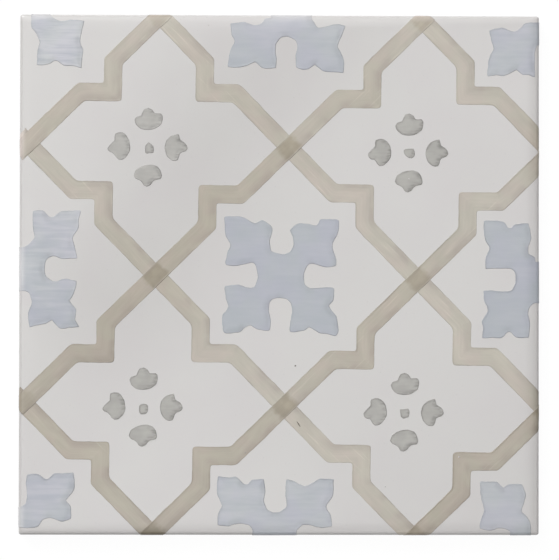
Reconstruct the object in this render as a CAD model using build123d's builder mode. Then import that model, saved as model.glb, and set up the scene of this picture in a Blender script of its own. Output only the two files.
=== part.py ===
"""Square glazed wall tile, pressed and fired as one piece.

Millimetres, +Z up. The tile lies on its back, with the glazed face up.
The origin is the middle of the back.
"""

import os

from build123d import *

# Overall size
tile_side = 200.0
tile_thickness = 10.0

# Upright corners of the outline
outline_corner_radius = 1.0

# Cushioned edge of the face: a long gentle arc, then a small one down to the upright side
cushion_run = 4.1
cushion_drop = 0.35
edge_radius = 1.4

# Small chamfer all round the back
back_chamfer = 0.8

# Waffle of shallow pockets that keys the back into its adhesive bed
pocket_size = 19.5
pocket_depth = 0.65
pocket_corner_radius = 2.0
pocket_draft_angle = 30.0
rib_width = 3.5
back_border = 8.0


def cushioned_section(plane):
    """The tile's section on an upright plane, with both edges of its face cushioned."""
    half_side = tile_side / 2
    shoulder = tile_thickness - cushion_drop - edge_radius
    edge_centre = Vector(half_side - edge_radius, shoulder)
    cushion_radius = (
        cushion_run**2 + (cushion_drop + edge_radius) ** 2 - edge_radius**2
    ) / (2 * cushion_drop)
    cushion_centre = Vector(edge_centre.X - cushion_run, tile_thickness - cushion_radius)
    meeting = cushion_centre + (edge_centre - cushion_centre).normalized() * cushion_radius

    with BuildSketch(plane) as section:
        with BuildLine():
            face = Line((0, tile_thickness), (cushion_centre.X, tile_thickness))
            cushion = TangentArc(face @ 1, meeting, tangent=face % 1)
            edge = TangentArc(cushion @ 1, (half_side, shoulder), tangent=cushion % 1)
            Polyline(
                edge @ 1,
                (half_side, back_chamfer),
                (half_side - back_chamfer, 0),
                (0, 0),
                (0, tile_thickness),
            )
        make_face()
        mirror(about=Plane.YZ)
    return section


# Pressed body with its glaze, one solid
with BuildPart() as tile:
    with BuildSketch(Plane.XY) as outline:
        RectangleRounded(tile_side, tile_side, outline_corner_radius)
    extrude(amount=tile_thickness)

    for upright_plane in (Plane.XZ, Plane.YZ):
        section = cushioned_section(upright_plane)
        extrude(section.sketch, amount=tile_side, both=True, mode=Mode.INTERSECT)

    # As many pockets as fit inside the border, wider at their mouths
    pocket_pitch = pocket_size + rib_width
    pocket_rows = int((tile_side - 2 * back_border + rib_width) // pocket_pitch)
    with BuildSketch(Plane.XY) as pockets:
        with GridLocations(pocket_pitch, pocket_pitch, pocket_rows, pocket_rows):
            RectangleRounded(pocket_size, pocket_size, pocket_corner_radius)
    extrude(amount=pocket_depth, taper=pocket_draft_angle, mode=Mode.SUBTRACT)

tile.part.label = "tile"

os.makedirs("parts", exist_ok=True)
export_step(tile.part, "parts/tile.step")

print("tile volume, cubic centimetres:", round(tile.part.volume / 1000, 2))
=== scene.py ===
"""Square glazed wall tile with hand-painted ornament, lying on its back and seen from above.

Metres, +Z up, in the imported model's frame: the origin is the middle of the tile's back.
"""

import math

import bmesh
import bpy
import numpy as np
from mathutils import Matrix, Vector, geometry, noise


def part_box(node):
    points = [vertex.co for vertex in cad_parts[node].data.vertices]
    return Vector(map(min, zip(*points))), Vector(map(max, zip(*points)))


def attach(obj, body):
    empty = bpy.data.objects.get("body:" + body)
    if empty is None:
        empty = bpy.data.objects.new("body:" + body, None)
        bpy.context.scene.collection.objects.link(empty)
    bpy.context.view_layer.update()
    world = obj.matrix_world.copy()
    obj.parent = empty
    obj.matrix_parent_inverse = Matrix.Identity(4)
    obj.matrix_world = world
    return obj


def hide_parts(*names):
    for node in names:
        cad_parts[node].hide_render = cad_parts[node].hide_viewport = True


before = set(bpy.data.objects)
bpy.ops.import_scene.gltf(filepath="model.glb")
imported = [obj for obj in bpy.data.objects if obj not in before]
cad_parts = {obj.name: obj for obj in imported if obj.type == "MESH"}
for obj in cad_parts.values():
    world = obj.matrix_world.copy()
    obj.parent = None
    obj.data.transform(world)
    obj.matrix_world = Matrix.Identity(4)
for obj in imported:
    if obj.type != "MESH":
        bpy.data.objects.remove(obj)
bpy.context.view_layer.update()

bl_info = {
    "name": "Painted Wall Tile",
    "version": (1, 0, 0),
    "blender": (4, 5, 0),
    "location": "3D View > Sidebar > Tile",
    "description": "Builds a pressed, glazed and hand-painted wall tile around its packed model",
    "category": "Object",
}

MM = 0.001
BODY = "root"
NODE = "tile"
LOW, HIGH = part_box(NODE)


def srgb(red, green, blue):
    """A colour given in display levels from 0 to 255, as the linear values that shaders use."""
    levels = []
    for level in (red, green, blue):
        share = level / 255
        levels.append(share / 12.92 if share <= 0.04045 else ((share + 0.055) / 1.055) ** 2.4)
    return tuple(levels)


# Sizes and colours that the user can change


def setting(name, description, default, **more):
    """A number with a name, a description and its unit."""
    return bpy.props.FloatProperty(name=name, description=description, default=default, **more)


def size_setting(name, description, default):
    """A length in metres."""
    return setting(name, description, default, unit="LENGTH")


def angle_setting(name, description, degrees):
    """An angle, given in degrees."""
    return setting(name, description, math.radians(degrees), subtype="ANGLE")


def place_setting(name, description, x, y):
    """A place on the tile, in metres from its middle."""
    return bpy.props.FloatVectorProperty(
        name=name, description=description, default=(x, y), size=2, unit="LENGTH"
    )


def colour_setting(name, description, *levels):
    """A colour, given in display levels."""
    return bpy.props.FloatVectorProperty(
        name=name, description=description, default=srgb(*levels), size=3, subtype="COLOR"
    )


class TileSizes(bpy.types.PropertyGroup):
    """Sizes of the pressed body and of the glaze that covers it."""

    side: size_setting("Side", "Side of the square", HIGH[0] - LOW[0])
    thickness: size_setting("Thickness", "Back to glazed face", HIGH[2] - LOW[2])
    corner_radius: size_setting("Corner radius", "Radius of the upright corners", 1.0 * MM)
    cushion_run: size_setting("Cushion run", "Width of the gentle fall near the rim", 4.1 * MM)
    cushion_drop: size_setting("Cushion drop", "Fall before the edge rounds over", 0.35 * MM)
    edge_radius: size_setting("Edge radius", "Radius where the face turns down", 1.4 * MM)
    back_chamfer: size_setting("Back chamfer", "Chamfer round the back", 0.8 * MM)
    pocket_size: size_setting("Pocket size", "Side of a pocket's mouth", 19.5 * MM)
    pocket_depth: size_setting("Pocket depth", "Depth of a pocket of the back", 0.65 * MM)
    pocket_corner: size_setting("Pocket corner", "Corner radius of a pocket", 2.0 * MM)
    pocket_lean: angle_setting("Pocket lean", "How far a pocket's walls lean out", 30)
    rib_width: size_setting("Rib width", "Rib between two pockets", 3.5 * MM)
    back_border: size_setting("Back border", "Least plain border round the pockets", 8.0 * MM)
    glaze_thickness: size_setting("Glaze thickness", "Thickness of the glaze coat", 0.35 * MM)
    glaze_line: size_setting("Glaze line", "Height at which the glaze stops on the sides", 2.6 * MM)
    glaze_line_wander: size_setting("Glaze line wander", "Rise and fall of that line", 1.0 * MM)


class StencilSizes(bpy.types.PropertyGroup):
    """Sizes of the painted ornament, which repeats twice across the tile."""

    pitch: size_setting("Pitch", "Distance between two frames", 100.3 * MM)
    band_width: size_setting("Band width", "Width of a strapwork band", 7.05 * MM)
    slant_width: setting("Slant width", "Share of that width on the slanting runs", 0.965)
    band_shift: place_setting("Band shift", "Where the bands lie off centre", 3.1 * MM, -0.8 * MM)
    band_turn: angle_setting("Band turn", "How far the bands are turned", -0.7)
    paint_thickness: size_setting("Paint thickness", "How far fired paint stands proud", 0.08 * MM)
    hand_wobble: size_setting("Hand wobble", "Unevenness of the painted edges", 0.16 * MM)
    rim_wrap: angle_setting("Rim wrap", "How far paint turns down over the edge", 80)


class TileColours(bpy.types.PropertyGroup):
    """Colours of the fired glazes and of the clay."""

    ground: colour_setting("Ground", "Off-white glaze", 205, 202, 201)
    band: colour_setting("Bands", "Taupe strapwork paint", 182, 174, 161)
    crossing: colour_setting("Crossings", "Taupe paint over taupe paint", 161, 151, 132)
    cross: colour_setting("Crosses", "Blue-grey paint, full brush", 170, 174, 182)
    cross_thin: colour_setting("Crosses, thin", "Blue-grey paint, dry brush", 197, 198, 201)
    flower: colour_setting("Flowers", "Warm grey paint", 168, 166, 161)
    speck: colour_setting("Specks", "Iron specks in the glaze", 96, 88, 80)
    clay: colour_setting("Clay", "Bare fired clay", 214, 199, 178)


class StageSizes(bpy.types.PropertyGroup):
    """Camera and lamps."""

    camera_height: size_setting("Camera height", "Height above the floor", 1.2)
    camera_lens: setting("Lens", "Focal length in millimetres", 199.39, unit="CAMERA")
    camera_shift: place_setting(
        "Camera place", "Where the camera stands off centre", -23.47 * MM, -22.84 * MM
    )
    camera_turn: bpy.props.FloatVectorProperty(
        name="Camera turn", description="Leans and roll away from looking straight down", size=3,
        default=(math.radians(1.0), math.radians(-1.13), math.radians(0.113)), subtype="EULER",
    )
    key_power: setting("Key lamp", "Power of the large soft lamp, in watts", 53.3, unit="POWER")
    panel_level: setting("Panels", "Brightness of the overhead panels that the glaze mirrors", 2.32)
    panel_height: size_setting("Panel height", "Height of those panels above the floor", 2.0)
    panel_turn: angle_setting("Panel turn", "How far the panels are turned", 35)
    fill_level: setting("Fill", "Level of the plain light from all round", 0.12)


# Node trees


class Value:
    """An output of a node, with which sums and products of nodes are written."""

    def __init__(self, tree, socket):
        self.tree = tree
        self.socket = socket

    def __add__(self, other):
        return self.tree.math("ADD", self, other)

    def __sub__(self, other):
        return self.tree.math("SUBTRACT", self, other)

    def __rsub__(self, other):
        return self.tree.math("SUBTRACT", other, self)

    def __mul__(self, other):
        return self.tree.math("MULTIPLY", self, other)

    def __truediv__(self, other):
        return self.tree.math("DIVIDE", self, other)

    def __neg__(self):
        return self * -1.0


class Tree:
    """A node tree being built: adds nodes, sets their values and joins them."""

    def __init__(self, group):
        self.group = group

    def node(self, kind, *inputs, **named):
        """Add a node and fill its inputs, in order or by name.

        Names with a capital are inputs, and the others are settings of the node.
        """
        made = self.group.nodes.new(kind)
        for name, value in named.items():
            if name.islower():
                setattr(made, name, value)
        sockets = [socket for socket in made.inputs if socket.enabled]
        for socket, value in zip(sockets, inputs):
            self.fill(socket, value)
        for name, value in named.items():
            if not name.islower():
                self.fill(next(s for s in sockets if s.name == name.replace("_", " ")), value)
        return made

    def fill(self, socket, value):
        """Join another node's output to a socket, or write a plain value there."""
        if value is None:
            return
        if isinstance(value, bpy.types.Node):
            value = next(output for output in value.outputs if output.enabled)
        if isinstance(value, Value):
            value = value.socket
        if isinstance(value, bpy.types.NodeSocket):
            self.group.links.new(value, socket)
        else:
            socket.default_value = value

    def value(self, made, output=0):
        return Value(self, made.outputs[output])

    def math(self, operation, *values):
        return self.value(self.node("ShaderNodeMath", *values, operation=operation))

    def vector(self, operation, *values):
        return self.value(self.node("ShaderNodeVectorMath", *values, operation=operation))

    def combine(self, x, y, z):
        return self.value(self.node("ShaderNodeCombineXYZ", x, y, z))

    def separate(self, vector):
        made = self.node("ShaderNodeSeparateXYZ", vector)
        return [self.value(made, axis) for axis in range(3)]

    def smooth(self, value, low, high, to_low=0.0, to_high=1.0):
        """A soft step from one level to another while value goes from low to high."""
        made = self.node("ShaderNodeMapRange", interpolation_type="SMOOTHSTEP")
        for socket, given in zip(made.inputs, (value, low, high, to_low, to_high)):
            self.fill(socket, given)
        return self.value(made)


class GeometryTree(Tree):
    """A Geometry Nodes tree with named inputs, run once as a modifier."""

    def __init__(self, name):
        super().__init__(bpy.data.node_groups.new(name, "GeometryNodeTree"))
        self.settings = {}
        for side in ("INPUT", "OUTPUT"):
            self.group.interface.new_socket(name="Geometry", in_out=side, socket_type="NodeSocketGeometry")
        self.start = self.group.nodes.new("NodeGroupInput")
        self.end = self.group.nodes.new("NodeGroupOutput")

    def setting(self, name, kind, value):
        """A named input and the value that the modifier gives it."""
        socket = self.group.interface.new_socket(
            name=name, in_out="INPUT", socket_type="NodeSocket" + kind
        )
        self.settings[socket.identifier] = value
        return self.value(self.start, name)

    def attribute(self, name, kind="FLOAT"):
        return self.value(self.node("GeometryNodeInputNamedAttribute", name, data_type=kind))

    def store(self, mesh, name, value, kind="FLOAT", domain="POINT"):
        return self.node(
            "GeometryNodeStoreNamedAttribute", data_type=kind, domain=domain, Geometry=mesh, Name=name,
            Value=value,
        )

    def join(self, *parts):
        """One mesh out of several."""
        made = self.node("GeometryNodeJoinGeometry")
        for part in parts:
            self.fill(made.inputs[0], part)
        return made

    def weld(self, mesh, distance):
        return self.node("GeometryNodeMergeByDistance", Geometry=mesh, Distance=distance)

    def finish(self, mesh, material):
        """End in Realize Instances and Set Material."""
        real = self.node("GeometryNodeRealizeInstances", mesh)
        given = self.setting("Material", "Material", material)
        dressed = self.node("GeometryNodeSetMaterial", Geometry=real, Material=given)
        self.fill(self.end.inputs[0], dressed)

    def run(self, base, name):
        """Run the tree on a base object, and give back its result as a plain mesh object."""
        modifier = base.modifiers.new("rule", "NODES")
        modifier.node_group = self.group
        for identifier, value in self.settings.items():
            modifier[identifier] = value
        evaluated = base.evaluated_get(bpy.context.evaluated_depsgraph_get())
        mesh = bpy.data.meshes.new_from_object(evaluated)
        base.modifiers.remove(modifier)
        mesh.name = name
        return add_piece(name, mesh)


# Pieces and meshes


def add_piece(name, mesh):
    """An object at the origin that shows a mesh."""
    piece = bpy.data.objects.new(name, mesh)
    bpy.context.scene.collection.objects.link(piece)
    return piece


def remove_piece(piece):
    """Take away a scratch object and its mesh."""
    mesh = piece.data
    bpy.data.objects.remove(piece)
    bpy.data.meshes.remove(mesh)


def declare(piece):
    """Say which body carries a piece."""
    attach(piece, BODY)


def join_rings(made, above, below):
    """Quads between two rings of the same length."""
    count = len(above)
    for i in range(count):
        after = (i + 1) % count
        made.faces.new((above[after], above[i], below[i], below[after]))


def closed_mesh(made, name):
    """A named mesh out of a closed surface, with its faces turned outward."""
    bmesh.ops.recalc_face_normals(made, faces=made.faces)
    mesh = bpy.data.meshes.new(name)
    made.to_mesh(mesh)
    made.free()
    return mesh


def set_values(mesh, name, values, kind="FLOAT", domain="POINT"):
    """Give every point or face of a mesh its own value."""
    mesh.attributes.new(name, kind, domain).data.foreach_set("value", values)


# Finishes

# Limits of the noise between which a level drifts the most gently
WIDE = (0.3, 0.7)

# How far up from the middle the painted highlight along the top rim starts, and where it is the brightest
TOP_RIM_HIGHLIGHT = (96.6 * MM, 99.6 * MM)


class Finish(Tree):
    """A procedural material around one Principled shader."""

    def __init__(self, name, roughness, specular=0.5):
        self.material = bpy.data.materials.new(name)
        self.material.use_nodes = True
        super().__init__(self.material.node_tree)
        self.shader = self.group.nodes["Principled BSDF"]
        self.shader.inputs["Roughness"].default_value = roughness
        self.shader.inputs["Specular IOR Level"].default_value = specular
        self.place = self.value(self.node("ShaderNodeTexCoord"), "Object")

    def noise(self, scale, detail=2.0, source=None, stretch=None, distortion=0.0):
        """Grey noise, with a scale in repeats per metre."""
        source = source or self.place
        if stretch:
            source = self.node("ShaderNodeMapping", Vector=source, Scale=stretch)
        made = self.node(
            "ShaderNodeTexNoise", Vector=source, Scale=scale, Detail=detail, Distortion=distortion
        )
        return self.value(made)

    def drift(self, low, high, scale, detail=2.0, span=(0.35, 0.65), **noise_settings):
        """A level that drifts between two values from place to place."""
        return self.smooth(self.noise(scale, detail, **noise_settings), *span, low, high)

    def mix(self, factor, first, second, blend="MIX"):
        made = self.node("ShaderNodeMix", data_type="RGBA", blend_type=blend)
        self.fill(made.inputs[0], factor)
        for socket, value in zip((made.inputs[6], made.inputs[7]), (first, second)):
            self.fill(socket, (*value, 1.0) if isinstance(value, tuple) else value)
        return self.value(made, 2)

    def shade(self, colour, amount):
        """A colour made lighter or darker: amount 1 leaves it as it is."""
        return self.vector("MULTIPLY", colour, self.combine(amount, amount, amount))

    def attribute(self, name):
        return self.value(self.node("ShaderNodeAttribute", attribute_name=name), "Fac")

    def bump(self, height, distance, strength=1.0, below=None):
        return self.node(
            "ShaderNodeBump", Strength=strength, Distance=distance, Height=height, Normal=below
        )

    def surface(self, colour=None, roughness=None, normal=None):
        for name, value in (("Base Color", colour), ("Roughness", roughness), ("Normal", normal)):
            self.fill(self.shader.inputs[name], value)
        return self.material


def glaze_skin(finish):
    """The slow swell and fine orange peel that every fired glaze here has."""
    swell = finish.bump(finish.noise(60.0, 1.0), 0.10 * MM, 0.5)
    return finish.bump(finish.noise(900.0, 2.0), 0.012 * MM, 0.5, swell)


def ground_glaze(colour):
    """Off-white glaze with faint clouds and a few pinprick specks, with a painted highlight along the top
    rim.
    """
    finish = Finish("ground_glaze", 0.11)
    clouds = finish.drift(0.985, 1.012, 22.0, 3.0, WIDE)
    specks = finish.drift(1.0, 0.93, 1400.0, 0.0, (0.80, 0.84))
    # Painted highlight: the glaze colour is made paler along the top rim, where that rim faces the light
    top = finish.smooth(finish.separate(finish.place)[1], *TOP_RIM_HIGHLIGHT, 1.0, 1.13)
    base = finish.mix(finish.drift(0.0, 1.0, 45.0), colour, srgb(205, 203, 201))
    roughness = finish.drift(0.10, 0.13, 30.0, 2.0, WIDE)
    return finish.surface(finish.shade(base, clouds * specks * top), roughness, glaze_skin(finish))


def dark_rim(finish, scale, darkest, palest, width):
    """Darker paint where it pooled at its edge: the dark line comes and goes, and widens and narrows."""
    depth = finish.drift(darkest, palest, scale, 1.0, (0.36, 0.64))
    spread = finish.drift(0.6, 1.5, 0.8 * scale, 1.0, stretch=(1.0, 1.0, 3.0))
    return finish.smooth(finish.attribute("edge") * spread, 0.12 * MM, width, depth, 1.0)


def darker_beside_edges(finish, scale, depth, across=1.0):
    """Darker paint beside the edges that face the right and the bottom of the tile, in blots that may be
    drawn out sideways.
    """
    blots = finish.drift(0.3, 1.7, scale, stretch=(1.0, across, 1.0))
    return finish.attribute("pool") * blots * -depth + 1.0


def near_rim(finish, reach):
    """Share that rises from nothing at a distance from the rim to 1 where the paint ends below it."""
    return finish.smooth(finish.attribute("spare"), 0.3 * MM, reach, 1.0, 0.0)


def ran_down_and_shaded_rim(finish, rim):
    """Darker paint near the right and bottom rims: partly paint that ran down over the rim, partly a
    painted shade where those rims face away from the light.
    """
    return finish.math("MAXIMUM", rim, 0.0) * near_rim(finish, 4.2 * MM) * -0.22 + 1.0


def thinned_and_highlit_rim(finish, rim):
    """Share by which the paint is paler near the rim: partly paint that thinned there, partly a painted
    highlight on the left and top rims, which face the light.
    """
    return finish.math("MAXIMUM", -rim, 0.0) * near_rim(finish, 3.6 * MM)


def stray_hairs(finish):
    """Pale lines that stray hairs of the brush drew straight on through the bends, here and there."""
    x, y, _ = finish.separate(finish.place)
    rising = finish.math("GREATER_THAN", finish.attribute("under"), -0.5)
    turned = y * (rising * -2.0 + 1.0)
    place = finish.combine(x + turned, x - turned, 0.0)
    hairs = finish.drift(0.0, 1.0, 1.0, 1.0, (0.62, 0.72), source=place, stretch=(850.0, 42.0, 1.0))
    return hairs * finish.drift(0.0, 1.0, 40.0, 1.0, (0.5, 0.6)) * 0.11 + 1.0


def band_paint(colour, crossing_colour):
    """Taupe paint drawn on with a flat brush, darker where it pooled and where two coats cross."""
    finish = Finish("band_paint", 0.18)
    strength = finish.attribute("strength")
    rim = finish.attribute("rim")
    warm = finish.mix(finish.drift(0.0, 1.0, 110.0), srgb(181, 175, 161), srgb(184, 173, 162))
    base = finish.mix(0.7, colour, warm)

    # Fuller strokes are warmer
    hue = finish.mix(finish.smooth(strength, -0.7, 1.0), (0.984, 1.0, 1.017), (1.01, 1.0, 0.972))
    base = finish.mix(1.0, base, hue, "MULTIPLY")

    # Second coat over the first, with blurred and ragged limits
    ragged = finish.noise(420.0) * (2.4 * MM) + finish.attribute("under")
    lengthwise = finish.smooth(ragged, -0.5 * MM, 2.0 * MM)
    sidewise = finish.smooth(finish.attribute("edge"), 0.0, 0.9 * MM, 0.25, 1.0)
    deep = finish.shade(crossing_colour, finish.drift(0.93, 1.05, 230.0, 1.0))
    base = finish.mix(lengthwise * sidewise * finish.attribute("depth"), base, deep)
    # Paler near the rims marked below 0: partly thinned paint, partly a painted highlight on the left and
    # top rims
    base = finish.mix(thinned_and_highlit_rim(finish, rim), base, srgb(219, 208, 202))

    # Strokes of a brush, each with its own tone and heavier on one of its sides
    along = finish.value(finish.node("ShaderNodeUVMap", uv_map="brush"))
    streaks = finish.drift(0.976, 1.024, 1.0, 3.0, WIDE, source=along, stretch=(60.0, 1500.0, 1.0))
    flow = finish.drift(0.96, 1.03, 1.0, 2.0, WIDE, source=along, stretch=(90.0, 260.0, 1.0))
    stroke = finish.attribute("tone") * finish.attribute("apart")
    tone = stroke * 0.015 + 0.995 - strength * 0.11
    lean = finish.separate(along)[1] * (1 / (3.6 * MM)) * stroke * 0.03 + 1.0
    pool = dark_rim(finish, 90.0, 0.84, 1.0, 0.6 * MM) * darker_beside_edges(finish, 110.0, 0.10)
    # Darker near the right and bottom rims: partly paint that ran down, partly painted shade
    amount = streaks * flow * tone * lean * pool * ran_down_and_shaded_rim(finish, rim) * stray_hairs(finish)
    return finish.surface(finish.shade(base, amount), None, glaze_skin(finish))


def cross_paint(full, thin):
    """Blue-grey paint brushed from side to side, streaky where the brush ran dry."""
    finish = Finish("cross_paint", 0.18)
    dry = finish.attribute("dry")
    load = finish.attribute("fade") * finish.attribute("height") + finish.attribute("load")
    streak = finish.drift(-1.0, 1.0, 1.0, 3.0, WIDE, stretch=(70.0, 640.0, 1.0), distortion=0.5)
    patch = finish.drift(-1.0, 1.0, 1.0, 2.0, WIDE, stretch=(70.0, 150.0, 1.0))
    cover = load + streak * (dry * 0.17 + 0.03) + patch * (dry * 0.13 + 0.05)
    base = finish.mix(finish.smooth(cover, 0.0, 1.0), thin, full)

    # Violet and greenish patches
    hue = finish.mix(finish.drift(0.0, 1.0, 80.0), (0.995, 0.985, 1.02), (0.985, 1.0, 0.985))
    base = finish.mix(1.0, base, hue, "MULTIPLY")

    # The left and the top rims are paler: partly paint that thinned there, partly a painted highlight where
    # they face the light
    x, y, _ = finish.separate(finish.place)
    thinned_and_lit_side = finish.math("LESS_THAN", x - y, 0.0)
    base = finish.mix(thinned_and_highlit_rim(finish, thinned_and_lit_side * -0.8), base, srgb(220, 218, 219))

    # Hairs of the brush that left the glaze almost bare
    hair = finish.drift(0.0, 1.0, 1.0, 2.0, (0.62, 0.74), stretch=(110.0, 1500.0, 3.0))
    bare = hair * dry * 0.09 + 1.0
    pool = dark_rim(finish, 170.0, 0.84, 1.0, 0.6 * MM) * darker_beside_edges(finish, 150.0, 0.085)
    return finish.surface(finish.shade(base, bare * pool), None, glaze_skin(finish))


def flower_paint(colour):
    """Warm grey paint with a dark rim where it pooled."""
    finish = Finish("flower_paint", 0.18)
    streaks = finish.drift(0.97, 1.03, 1.0, 3.0, WIDE, stretch=(120.0, 900.0, 1.0))
    clouds = finish.drift(0.93, 1.05, 170.0, 2.0, (0.33, 0.67))
    pool = dark_rim(finish, 240.0, 0.72, 0.98, 0.7 * MM) * darker_beside_edges(finish, 330.0, 0.19, 3.5)
    base = finish.mix(finish.attribute("load"), srgb(178, 176, 172), colour)
    return finish.surface(finish.shade(base, streaks * clouds * pool), None, glaze_skin(finish))


def speck_finish(dark, pale):
    """Iron specks, and pinholes where the pale glaze shows."""
    finish = Finish("glaze_speck", 0.3)
    return finish.surface(finish.mix(finish.attribute("load"), pale, dark))


def bare_clay(colour):
    """Fired clay without glaze: matt, finely grained, with darker grog."""
    finish = Finish("bare_clay", 0.85, 0.3)
    clouds = finish.drift(0.95, 1.04, 35.0, 3.0, WIDE)
    grain = finish.drift(0.96, 1.03, 2600.0, 2.0, WIDE)
    grog = finish.drift(1.0, 0.82, 700.0, 1.0, (0.72, 0.78))
    base = finish.mix(finish.drift(0.0, 1.0, 18.0), colour, srgb(219, 206, 188))
    rough = finish.bump(finish.noise(1800.0, 4.0), 0.06 * MM, 0.8)
    return finish.surface(finish.shade(base, clouds * grain * grog), None, rough)


# Pressed body


def square_ring(half, corner_radius, corner_points=7):
    """Points round a square with rounded corners, anticlockwise as seen from above."""
    ring = []
    inner = half - corner_radius
    for quarter in range(4):
        middle = math.pi / 4 + quarter * math.pi / 2
        centre = Vector((math.copysign(inner, math.cos(middle)), math.copysign(inner, math.sin(middle))))
        for step in range(corner_points):
            angle = quarter * math.pi / 2 + step / (corner_points - 1) * math.pi / 2
            ring.append(centre + corner_radius * Vector((math.cos(angle), math.sin(angle))))
    return ring


def turned_solid(levels, corner_radius):
    """A closed square solid through rings given as (half side, height)."""
    made = bmesh.new()
    rings = []
    for half, height in levels:
        rings.append([made.verts.new((p.x, p.y, height)) for p in square_ring(half, corner_radius)])
    for lower, upper in zip(rings, rings[1:]):
        join_rings(made, upper, lower)
    made.faces.new(tuple(reversed(rings[0])))
    made.faces.new(tuple(rings[-1]))
    return closed_mesh(made, "pressed_slab")


def waffle_tree(sizes, material):
    """Cuts rows of shallow pockets, wider at their mouths, into the back of a slab."""
    tree = GeometryTree("waffle_back")
    size = tree.setting("Pocket Size", "Float", sizes.pocket_size)
    depth = tree.setting("Pocket Depth", "Float", sizes.pocket_depth)
    corner = tree.setting("Pocket Corner", "Float", sizes.pocket_corner)
    lean = tree.setting("Pocket Lean", "Float", math.tan(sizes.pocket_lean))
    rib = tree.setting("Rib Width", "Float", sizes.rib_width)
    span = sizes.side - 2 * sizes.back_border + sizes.rib_width
    rows = tree.setting("Rows", "Int", int(span // (sizes.pocket_size + sizes.rib_width)))

    # Cutter for one pocket, which reaches as far below the back as into it
    mouth = tree.node("GeometryNodeCurvePrimitiveQuadrilateral", Width=size, Height=size)
    rounded = tree.node(
        "GeometryNodeFilletCurve", mode="POLY", Curve=mouth, Radius=corner, Count=5, Limit_Radius=True
    )
    sheet = tree.node("GeometryNodeFillCurve", mode="NGONS", Curve=rounded)
    below = tree.node("GeometryNodeTransform", Geometry=sheet, Translation=tree.combine(0.0, 0.0, -depth))
    raised = tree.node(
        "GeometryNodeExtrudeMesh", Mesh=below, Offset=tree.combine(0.0, 0.0, 1.0), Offset_Scale=depth * 2.0
    )
    narrowed = 1.0 - depth * lean / size * 4.0
    tapered = tree.node(
        "GeometryNodeScaleElements", Geometry=raised, Selection=raised.outputs["Top"], Scale=narrowed
    )
    closed = tree.weld(tree.join(tapered, tree.node("GeometryNodeFlipFaces", below)), 0.001 * MM)

    across = (size + rib) * (rows - 1.0)
    grid = tree.node("GeometryNodeMeshGrid", across, across, rows, rows)
    laid = tree.node("GeometryNodeInstanceOnPoints", Points=grid, Instance=closed)
    cut = tree.node(
        "GeometryNodeMeshBoolean", operation="DIFFERENCE", solver="EXACT",
        Mesh_1=tree.start.outputs["Geometry"], Mesh_2=tree.node("GeometryNodeRealizeInstances", laid),
    )
    tree.finish(cut, material)
    return tree


# Glazed face

# How far the glaze's hidden underside lies below the clay's top and shoulder, and how far in it ends
SEAT_DEPTH = 0.1 * MM
BEHIND_DEPTH = 0.5 * MM
SEAT_INSET = 6.0 * MM

# Power by which the falls of two sides join at a corner
CORNER_POWER = 2.5

# Steps of the glaze down a side, round its lip and up behind it: share of the way down, and inset
SIDE_STEPS = (
    (0.25, 0.0), (0.5, 0.0), (0.75, 0.0), (0.9, 0.0), (0.97, 0.04 * MM), (1.0, 0.16 * MM), (1.0, 0.4 * MM)
)


def cushion_arcs(sizes):
    """Radius of the long arc of the rim, and the slope at which the small arc takes over."""
    radius = (
        sizes.cushion_run**2 + (sizes.cushion_drop + sizes.edge_radius) ** 2 - sizes.edge_radius**2
    ) / (2 * sizes.cushion_drop)
    return radius, math.asin(sizes.cushion_run / (radius - sizes.edge_radius))


def rim_profile(sizes, cell=4.0 * MM, long_steps=6, small_steps=10):
    """Distances from the middle line out to the outline, each with its fall below the face."""
    radius, meeting = cushion_arcs(sizes)
    flat = sizes.side / 2 - sizes.cushion_run - sizes.edge_radius
    count = math.ceil(flat / cell)
    profile = [(flat * i / count, 0.0) for i in range(count)]
    for i in range(long_steps):
        slope = meeting * i / long_steps
        profile.append((flat + radius * math.sin(slope), radius * (1 - math.cos(slope))))
    centre = sizes.side / 2 - sizes.edge_radius
    depth = sizes.cushion_drop + sizes.edge_radius
    for i in range(small_steps + 1):
        slope = meeting + (math.pi / 2 - meeting) * i / small_steps
        profile.append(
            (centre + sizes.edge_radius * math.sin(slope), depth - sizes.edge_radius * math.cos(slope))
        )
    return profile


def round_corner(x, y, sizes):
    """Pull a point of the square's corner in to the rounded outline."""
    start = sizes.side / 2 - sizes.corner_radius
    if abs(x) <= start or abs(y) <= start:
        return x, y
    a = (abs(x) - start) / sizes.corner_radius
    b = (abs(y) - start) / sizes.corner_radius
    rounded_x = start + sizes.corner_radius * a * math.sqrt(1 - b * b / 2)
    rounded_y = start + sizes.corner_radius * b * math.sqrt(1 - a * a / 2)
    return math.copysign(rounded_x, x), math.copysign(rounded_y, y)


# Waves, ripples and runs per metre in the line where the glaze stops
LINE_WAVES = 55.0
LINE_RIPPLES = 190.0
LINE_RUNS = 120.0


def glaze_edge_height(point, sizes):
    """Height at which the glaze stops on a side: a wavy line with a few runs."""
    spot = Vector((point.x, point.y, 0.0))
    wave = noise.noise(spot * LINE_WAVES) + 0.5 * noise.noise(spot * LINE_RIPPLES + Vector((7.0, 3.0, 1.0)))
    runs = max(0.0, noise.noise(spot * LINE_RUNS + Vector((2.0, 9.0, 5.0))) - 0.25)
    return sizes.glaze_line + sizes.glaze_line_wander * (0.8 * wave - 2.2 * runs)


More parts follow.
